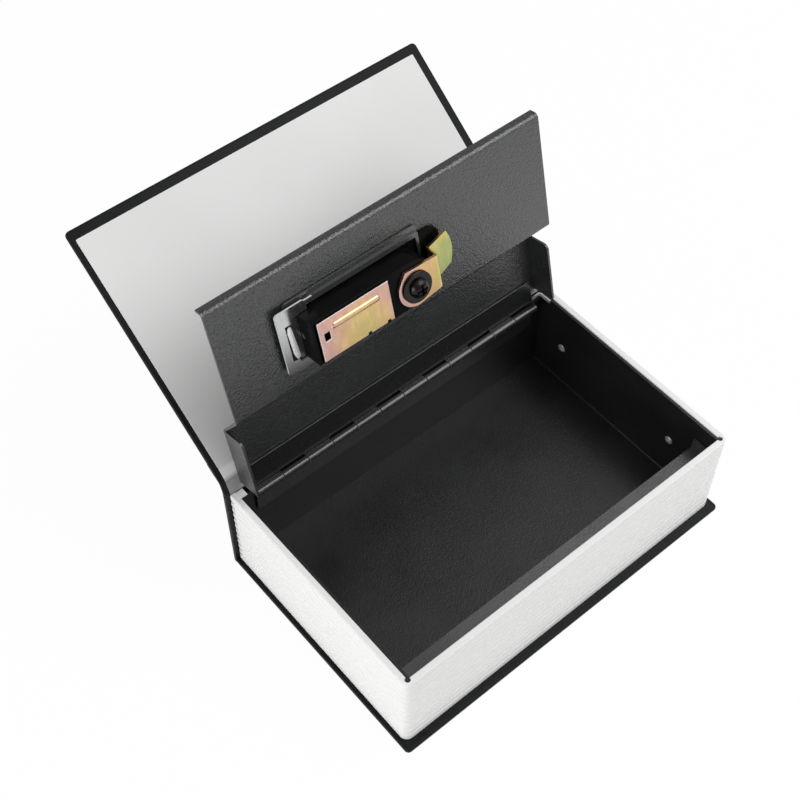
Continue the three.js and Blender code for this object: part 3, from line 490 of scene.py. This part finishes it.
BARE_STEEL = plain_steel(
    "bare_sheared_steel", scale=700.0, dark=(0.4, 0.38, 0.35), light=(0.55, 0.53, 0.5),
    low=0.4, high=0.6,
)
CORNER_HOOK = [
    (0.0782, 0.0549, 0.0008), (0.0821, 0.0552, 0.0008), (0.0829, 0.0549, 0.0008),
    (0.0833, 0.0540, 0.0008), (0.0834, 0.0485, 0.0008),
]
HOOK_PLACE = Matrix.Translation((0, 0, 0.0507))
corner_hook = drawn_out(
    "corner_hook", section_of(CORNER_HOOK), half_depth=0.0009, soft=0.0002, place=HOOK_PLACE
)
corner_hook.data.materials.append(BARE_STEEL)
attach(corner_hook, "case")


# The piano hinge. Two strips of sheet steel with rolled knuckles take turns on one
# long pin: one leaf is welded to the tray's back wall, the other to the lid.
def hinge_finish():
    finish, tree, shader, place = paint_nodes("dark_hinge_paint", roughness=0.22)
    shader.inputs["IOR"].default_value = 1.8
    shader.inputs["Specular IOR Level"].default_value = 0.45
    rub = noise_over(tree, place, scale=900.0, detail=5.0)
    dark, light = (0.014, 0.0145, 0.015), (0.019, 0.0195, 0.02)
    colours_by(tree, shader, rub, [(0.35, dark), (0.7, light)])
    gloss_by(tree, shader, rub, low=0.18, high=0.28)
    relief(tree, shader, (cells_over(tree, place, scale=1300.0), 0.00003))
    return finish


HINGE_PAINT = hinge_finish()
# Light greys on the bevels of the lid's hinge leaf and the lock frame: the bright edge lines as
# painted highlight.
PALE_EDGE_HIGHLIGHT = rubbed_paint("pale_edge_painted_highlight", dark=0.2, light=0.3)
eased(
    "hinge_leaf_tray", "case", HINGE_PAINT,
    edge=0.0002, smooth=50.0, edge_highlight=EDGE_HIGHLIGHT_ENAMEL,
)
eased(
    "hinge_leaf_lid", "lid", HINGE_PAINT,
    edge=0.0003, smooth=50.0, edge_highlight=PALE_EDGE_HIGHLIGHT,
)
eased("hinge_pin", "case", RIVET_STEEL, edge=0.0001)


# The lid. One sheet is stepped down from a raised rear part with end cheeks to the
# plate that carries the lock, and its free edge turns up as a stiffening lip.
eased("lid", "lid", GREY_ENAMEL, edge=0.00025, edge_highlight=EDGE_HIGHLIGHT_ENAMEL)

# Places on the lid are given with the lid shut, measured from its pin.
LID_PIN = (0.0, 0.05205, 0.0484)
LID_OPEN = math.radians(104)
LID_PLACE = Matrix.Translation(LID_PIN) @ Matrix.Rotation(-LID_OPEN, 4, "X")
LID_OUTWARD = Vector((0.0, math.sin(LID_OPEN), math.cos(LID_OPEN)))


# The lock's body. A black moulded housing stands in the lid's cut-out, a stamped
# frame runs round it on the inside, and a bezel with dial windows covers the outside.
def black_plastic():
    finish, tree, shader, place = paint_nodes("black_moulded_plastic", roughness=0.38)
    shader.inputs["Specular IOR Level"].default_value = 0.06
    broad = noise_over(tree, place, scale=150.0)
    dark, light = (0.0025, 0.0025, 0.0026), (0.005, 0.005, 0.0052)
    colours_by(tree, shader, broad, [(0.3, dark), (0.7, light)])
    gloss_by(tree, shader, broad, low=0.32, high=0.46)
    relief(tree, shader, (noise_over(tree, place, scale=2600.0, detail=2.0), 0.00003))
    return finish


BLACK_PLASTIC = black_plastic()
# A lighter copy of the lid's grey enamel for the frame: painted light.
LIT_FRAME_ENAMEL = enamel(
    "frame_enamel_painted_light", dark=(0.032, 0.033, 0.033), light=(0.04, 0.0415, 0.0415),
    gloss=0.62, roughness=0.26, peel=0.00008,
)
eased("lock_frame", "lid", LIT_FRAME_ENAMEL, edge=0.00042, edge_highlight=PALE_EDGE_HIGHLIGHT)
eased("lock_housing", "lid", BLACK_PLASTIC, edge=0.00025)
eased("lock_bezel", "lid", BLACK_PLASTIC, edge=0.0003)


# Zinc-plated lock parts. The cover plate, the slide, the tumblers and the cam are
# stamped steel, and their yellow passivation shimmers from pink through gold to green.
def passivated_zinc(name, tints, middle, spread, cloud):
    """Tints run outwards from the point middle, spread metres apart, broken up by a cloud."""
    finish, tree, shader, place = paint_nodes(name, roughness=0.25, metallic=1.0)
    centred = tree.nodes.new("ShaderNodeMapping")
    centred.vector_type = "TEXTURE"
    centred.inputs["Location"].default_value = middle
    centred.inputs["Scale"].default_value = (spread, spread, spread)
    tree.links.new(place, centred.inputs["Vector"])
    away = tree.nodes.new("ShaderNodeVectorMath")
    away.operation = "LENGTH"
    tree.links.new(centred.outputs["Vector"], away.inputs[0])
    haze = noise_over(tree, place, scale=160.0, detail=2.0)
    swirl = worked_out(tree, "MULTIPLY_ADD", haze, cloud * 2, away.outputs["Value"])
    level = worked_out(tree, "SUBTRACT", swirl, cloud)
    colours_by(tree, shader, level, tints)
    smear = noise_over(tree, place, scale=420.0, stretch=(1.0, 0.35, 0.35))
    gloss_by(tree, shader, smear, low=0.22, high=0.36)
    relief(tree, shader, (smear, 0.00003))
    return finish


def sheared_edge(name, colour, metal=1.0):
    """A pale, flecked finish for a plate's edges: painted highlight where the edges catch the
    light.
    """
    finish, tree, shader, place = paint_nodes(name, roughness=0.3, metallic=metal)
    marks = noise_over(tree, place, scale=900.0, detail=3.0)
    dull = tuple(part * 0.85 for part in colour)
    colours_by(tree, shader, marks, [(0.3, dull), (0.7, colour)])
    gloss_by(tree, shader, marks, low=0.25, high=0.4)
    return finish


def pale_edges(plate, flatness):
    """Gives the faces that lie less flat to the lid than flatness the second finish, a painted
    highlight.
    """
    for polygon in plate.data.polygons:
        if abs(polygon.normal.dot(LID_OUTWARD)) < flatness:
            polygon.material_index = 1


GOLD_TO_PINK = [
    (0.12, (0.7, 0.57, 0.23)), (0.35, (0.79, 0.56, 0.26)), (0.55, (0.78, 0.52, 0.3)),
    (0.7, (0.75, 0.47, 0.35)), (0.85, (0.72, 0.45, 0.4)),
]
ZINC = passivated_zinc(
    "pink_passivated_zinc", GOLD_TO_PINK, middle=(-0.025, 0.0455, 0.1195), spread=0.021, cloud=0.5
)
# Pale pink on the edges of the cover plate and the cam lever: painted highlight.
PALE_PINK = sheared_edge("zinc_edge_painted_highlight", (0.9, 0.8, 0.76))
cover_plate = eased(
    "lock_cover_plate", "lid", ZINC, edge=0.0003, edge_highlight=PALE_PINK, sharp=60.0
)
pale_edges(cover_plate, flatness=0.59)
eased("locking_slide", "lid", ZINC, edge=0.0)


# Bright parts. The retaining clip with its spring finger, the dial axle and the detent
# spring are hard steel with a bright plating, and the clip is stamped from sheet.
# Tones of the plating by height: painted reflection, dark where the tray would be mirrored and
# light above, with a paler grey at the very bottom as painted highlight.
REFLECTION_TONES = [
    (0.06, (0.5, 0.5, 0.5)), (0.14, (0.1, 0.1, 0.102)), (0.4, (0.22, 0.222, 0.226)),
    (0.62, (0.4, 0.404, 0.41)), (1.0, (0.56, 0.565, 0.57)),
]
REFLECTION_DARK_BELOW = 0.104
REFLECTION_LIGHT_ABOVE = 0.132
RUB_SHARE = 0.16


def bright_plating():
    """Painted reflection: the plating is darker low down, where it would mirror the dark tray, and
    lighter higher up; its lowest part breaks into paler patches as painted highlight.
    """
    finish, tree, shader, place = paint_nodes("bright_plating", roughness=0.16, metallic=1.0)
    rub = noise_over(tree, place, scale=600.0, detail=5.0, stretch=(1.0, 0.25, 0.25))
    rise = by_height(tree, place, REFLECTION_DARK_BELOW, REFLECTION_LIGHT_ABOVE)
    level = worked_out(tree, "MULTIPLY_ADD", rub, RUB_SHARE, rise)
    colours_by(tree, shader, level, REFLECTION_TONES)
    gloss_by(tree, shader, rub, low=0.14, high=0.26)
    return finish


BRIGHT = bright_plating()
# Near white on the clip's edges and on its finger: painted highlight.
BRIGHT_EDGE = sheared_edge("clip_edge_painted_highlight", (0.95, 0.95, 0.95), metal=0.3)
SLOT_LEFT, SLOT_RIGHT = -0.0529, -0.0490
SLOT_NEAR, SLOT_FAR = -0.0800, -0.0626
SLOT_HEIGHT = -0.0145
SLOT_DEPTH = 0.006


def open_slot(piece):
    """Widens the fork's gap for its spring finger."""
    bpy.ops.mesh.primitive_cube_add(size=1.0)
    cutter = bpy.context.object
    middle = ((SLOT_LEFT + SLOT_RIGHT) / 2, (SLOT_NEAR + SLOT_FAR) / 2, SLOT_HEIGHT)
    size = Matrix.Diagonal((SLOT_RIGHT - SLOT_LEFT, SLOT_FAR - SLOT_NEAR, SLOT_DEPTH, 1.0))
    cutter.matrix_world = LID_PLACE @ Matrix.Translation(middle) @ size
    cut = piece.modifiers.new("slot", "BOOLEAN")
    cut.operation = "DIFFERENCE"
    cut.object = cutter
    bpy.context.view_layer.objects.active = piece
    bpy.ops.object.modifier_apply(modifier=cut.name)
    bpy.data.objects.remove(cutter)
    piece.select_set(True)


clip = eased(
    "retaining_clip", "lid", BRIGHT,
    edge=0.00038, edge_highlight=BRIGHT_EDGE, reshaped=open_slot,
)
pale_edges(clip, flatness=0.5)

FINGER = [
    (-0.0521, -0.0786), (-0.0513, -0.0793), (-0.0506, -0.0789), (-0.0502, -0.0755),
    (-0.0494, -0.0648), (-0.0499, -0.0640), (-0.0510, -0.0637), (-0.0519, -0.0662),
    (-0.0525, -0.0765),
]
FINGER_PLACE = LID_PLACE @ Matrix.Translation((0, 0, -0.0146))
# The finger is finished all over in the near-white edge paint: its bright rim is painted
# highlight.
clip_finger = drawn_out("clip_finger", FINGER, half_depth=0.0003, soft=0.00001, place=FINGER_PLACE)
clip_finger.data.materials.append(BRIGHT_EDGE)
clip_finger.select_set(True)
bpy.context.view_layer.objects.active = clip_finger
rounded = clip_finger.modifiers.new("rim", "BEVEL")
rounded.width = 0.0003
rounded.segments = 2
rounded.limit_method = "ANGLE"
rounded.angle_limit = math.radians(60)
bpy.ops.object.modifier_apply(modifier=rounded.name)
clip_finger.select_set(False)
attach(clip_finger, "lid")

eased("dial_axle", "lid", BRIGHT, edge=0.0001)
eased("detent_spring", "lid", BRIGHT, edge=0.0)


# The number dials. Each black wheel turns on the axle with its tumbler disc, and has
# the figures 0 to 9 printed in white on its ten flats.
def white_print():
    finish, tree, shader, place = paint_nodes("white_print", roughness=0.5)
    wear = noise_over(tree, place, scale=1200.0)
    colours_by(tree, shader, wear, [(0.3, (0.7, 0.7, 0.69)), (0.5, (0.82, 0.82, 0.81))])
    return finish


WHITE_PRINT = white_print()
PRINT_THICKNESS = 0.00003
DIAL_FLATS = 10
FLAT_RADIUS = 0.00762
FIGURE_SIZE = 0.0042
AXLE_ON_LID = (-0.0718, -0.0144)
DIAL_CENTRES = {
    1: (-0.0367, *AXLE_ON_LID), 2: (-0.0272, *AXLE_ON_LID), 3: (-0.0177, *AXLE_ON_LID),
}


def half_step(centre):
    """The turn by half a step that brings a flat, and not a groove, to the window."""
    def turned(_):
        bpy.ops.object.mode_set(mode="EDIT")
        bpy.ops.mesh.select_all(action="SELECT")
        bpy.ops.transform.rotate(
            value=math.pi / DIAL_FLATS, orient_axis="X", center_override=centre
        )
        bpy.ops.object.mode_set(mode="OBJECT")

    return turned


def figures(count):
    """Prints 0 to 9 on the flats of one wheel."""
    wheel = LID_PLACE @ Matrix.Translation(DIAL_CENTRES[count])
    bpy.ops.object.select_all(action="DESELECT")
    printed = []
    for figure in range(DIAL_FLATS):
        bpy.ops.object.text_add()
        text = bpy.context.object
        text.data.body = str(figure)
        text.data.size = FIGURE_SIZE
        text.data.align_x = "CENTER"
        text.data.align_y = "CENTER"
        text.data.extrude = PRINT_THICKNESS
        text.data.resolution_u = 3
        bpy.ops.object.convert(target="MESH")
        shape = bpy.context.object
        turned = Matrix.Rotation(-2 * math.pi * figure / DIAL_FLATS, 4, "X")
        shape.matrix_world = wheel @ turned @ Matrix.Translation((0, 0, FLAT_RADIUS))
        bpy.ops.object.transform_apply(location=True, rotation=True, scale=True)
        shape.select_set(False)
        printed.append(shape)
    for shape in printed:
        shape.select_set(True)
    bpy.context.view_layer.objects.active = printed[0]
    bpy.ops.object.join()
    piece = bpy.context.object
    piece.name = f"dial_{count}_figures"
    piece.data.materials.clear()
    piece.data.materials.append(WHITE_PRINT)
    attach(piece, f"dial_{count}")
    piece.select_set(False)


for count in (1, 2, 3):
    eased(
        f"number_dial_{count}", f"dial_{count}", BLACK_PLASTIC,
        edge=0.00015, reshaped=half_step(LID_PLACE @ Vector(DIAL_CENTRES[count])),
    )
    eased(f"tumbler_{count}", f"dial_{count}", ZINC, edge=0.0)
    figures(count)


# The knob. It is moulded in black plastic with a pointer, grip ribs and a printed mark,
# and turns the spindle that goes through the lock.
eased("turn_knob", "cam", BLACK_PLASTIC, edge=0.0004, smooth=40.0)
SPINDLE_X = 0.0017
SPINDLE_Y = -0.071
KNOB_TOP = 0.0016
MARK_WIDTH = 0.0009
MARK = [
    (SPINDLE_X + 0.0025, SPINDLE_Y, MARK_WIDTH), (SPINDLE_X + 0.0078, SPINDLE_Y, MARK_WIDTH),
]
MARK_PLACE = LID_PLACE @ Matrix.Translation((0, 0, KNOB_TOP))
knob_mark = drawn_out(
    "knob_mark", section_of(MARK), half_depth=0.00005, soft=0.00002, place=MARK_PLACE
)
knob_mark.data.materials.append(WHITE_PRINT)
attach(knob_mark, "cam")

KNOB_RADIUS = 0.0095
KNOB_RIBS = 40
RIB_RADIUS = 0.00032
RIB_LENGTH = 0.0015
RIB_HEIGHT = -0.0068
RIB_CENTRE = LID_PLACE @ Matrix.Translation((SPINDLE_X, SPINDLE_Y, RIB_HEIGHT))
bpy.ops.object.select_all(action="DESELECT")
bpy.ops.mesh.primitive_cylinder_add(vertices=8, radius=RIB_RADIUS, depth=RIB_LENGTH)
knob_ribs = bpy.context.object
knob_ribs.name = "knob_ribs"
ribs = [knob_ribs]
for count in range(1, KNOB_RIBS):
    rib = knob_ribs.copy()
    rib.data = knob_ribs.data.copy()
    bpy.context.scene.collection.objects.link(rib)
    ribs.append(rib)
for count, rib in enumerate(ribs):
    around = Matrix.Rotation(2 * math.pi * count / KNOB_RIBS, 4, "Z")
    rib.matrix_world = RIB_CENTRE @ around @ Matrix.Translation((KNOB_RADIUS, 0, 0))
    rib.select_set(True)
bpy.context.view_layer.objects.active = knob_ribs
bpy.ops.object.transform_apply(location=True, rotation=True, scale=True)
bpy.ops.object.join()
bpy.ops.object.shade_smooth_by_angle(angle=math.radians(50))
knob_ribs.data.materials.append(BLACK_PLASTIC)
knob_ribs.select_set(False)
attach(knob_ribs, "cam")

eased("knob_spindle", "cam", BLACK_PLASTIC, edge=0.0001)


# The cam. A lever with a hooked blade is stamped from plated steel, and a black washer
# and an oiled black screw hold it on the spindle's square.
GREEN_TO_PINK = [
    (0.12, (0.46, 0.5, 0.2)), (0.3, (0.68, 0.56, 0.2)), (0.46, (0.78, 0.5, 0.24)),
    (0.6, (0.74, 0.46, 0.34)), (0.8, (0.7, 0.44, 0.39)),
]
CAM_ZINC = passivated_zinc(
    "green_passivated_zinc", GREEN_TO_PINK, middle=(0.0255, 0.052, 0.119), spread=0.042, cloud=0.2
)
eased("cam_lever", "cam", CAM_ZINC, edge=0.00025, smooth=40.0, edge_highlight=PALE_PINK)


def oiled_black():
    finish, tree, shader, place = paint_nodes("oil_blackened_steel", roughness=0.25)
    shader.inputs["Specular IOR Level"].default_value = 0.3
    sheen = noise_over(tree, place, scale=700.0, detail=3.0)
    dark, light = (0.002, 0.0016, 0.0015), (0.007, 0.0045, 0.004)
    colours_by(tree, shader, sheen, [(0.35, dark), (0.65, light)])
    gloss_by(tree, shader, sheen, low=0.16, high=0.34)
    return finish


OILED_BLACK = oiled_black()
eased("cam_washer", "cam", OILED_BLACK, edge=0.0003)
eased("cam_screw", "cam", OILED_BLACK, edge=0.00015, smooth=40.0)


# The studio. A pale floor, a plain white surround and two soft lamps. The floor looks
# white to the camera and in reflections, and the surround to the camera and through glass.
FLOOR_GLOW = 0.97
SURROUND_LIGHT = 0.32
WHITE = (1, 1, 1, 1)


def seen_rays(tree, *kinds):
    """One for rays from the camera and for the other kinds named, nought for the rest."""
    path = tree.nodes.new("ShaderNodeLightPath")
    seen = path.outputs["Is Camera Ray"]
    for kind in kinds:
        seen = worked_out(tree, "MAXIMUM", seen, path.outputs[kind])
    return seen


def mixed(tree, share, first, second, surface):
    """Sends a mix of two shaders to surface, with more of the second as share grows."""
    mix = tree.nodes.new("ShaderNodeMixShader")
    tree.links.new(share, mix.inputs["Fac"])
    tree.links.new(first.outputs[0], mix.inputs[1])
    tree.links.new(second.outputs[0], mix.inputs[2])
    tree.links.new(mix.outputs[0], surface)


bpy.ops.mesh.primitive_plane_add(size=6.0, location=(0, 0, -0.0001))
floor = bpy.context.object
floor.name = "floor"
floor_finish, tree, shader, _ = paint_nodes("pale_floor", roughness=0.9)
shader.inputs["Base Color"].default_value = (0.9, 0.9, 0.9, 1.0)
shader.inputs["Specular IOR Level"].default_value = 0.0
glow = tree.nodes.new("ShaderNodeEmission")
glow.inputs["Strength"].default_value = 1.0
seen = seen_rays(tree, "Is Glossy Ray", "Is Transmission Ray")
share = worked_out(tree, "MULTIPLY", seen, FLOOR_GLOW)
mixed(tree, share, shader, glow, tree.nodes["Material Output"].inputs["Surface"])
floor.data.materials.append(floor_finish)

world = bpy.data.worlds.new("white_surround")
bpy.context.scene.world = world
world.use_nodes = True
tree = world.node_tree
light = tree.nodes["Background"]
light.inputs["Color"].default_value = WHITE
light.inputs["Strength"].default_value = SURROUND_LIGHT
backdrop = tree.nodes.new("ShaderNodeBackground")
backdrop.inputs["Color"].default_value = WHITE
backdrop.inputs["Strength"].default_value = 1.0
seen = seen_rays(tree, "Is Transmission Ray")
mixed(tree, seen, light, backdrop, tree.nodes["World Output"].inputs["Surface"])


def soft_lamp(name, place, aim, size, power):
    """A rectangular lamp that stands at place and is turned to aim."""
    lamp = bpy.data.lights.new(name, "AREA")
    lamp.shape = "RECTANGLE"
    lamp.size, lamp.size_y = size
    lamp.energy = power
    stand = bpy.data.objects.new(name, lamp)
    bpy.context.scene.collection.objects.link(stand)
    stand.location = place
    stand.rotation_euler = (Vector(aim) - Vector(place)).to_track_quat("-Z", "Y").to_euler()


soft_lamp("key_lamp", (0.52, -0.33, 0.88), aim=(0, 0.03, 0.05), size=(1.0, 1.0), power=8.6)
soft_lamp("left_lamp", (-0.95, -0.08, 0.28), aim=(0, 0.0, 0.03), size=(0.8, 0.5), power=5.0)


# The camera. It stands where the photograph was taken from, and was fitted to the
# straight edges of the book, the tray and the lid.
VIEW_AZIMUTH = 39.97
VIEW_DOWN = 53.22
camera_data = bpy.data.cameras.new("camera")
camera_data.lens = 64.2
camera_data.sensor_width = 36.0
camera_data.clip_start = 0.01
camera = bpy.data.objects.new("camera", camera_data)
bpy.context.scene.collection.objects.link(camera)
camera.location = (-0.2375, -0.22945, 0.5377)
camera.rotation_euler = (math.radians(90.0 - VIEW_DOWN), 0.0, math.radians(-VIEW_AZIMUTH))
bpy.context.scene.camera = camera
bpy.context.scene.view_settings.view_transform = "Standard"
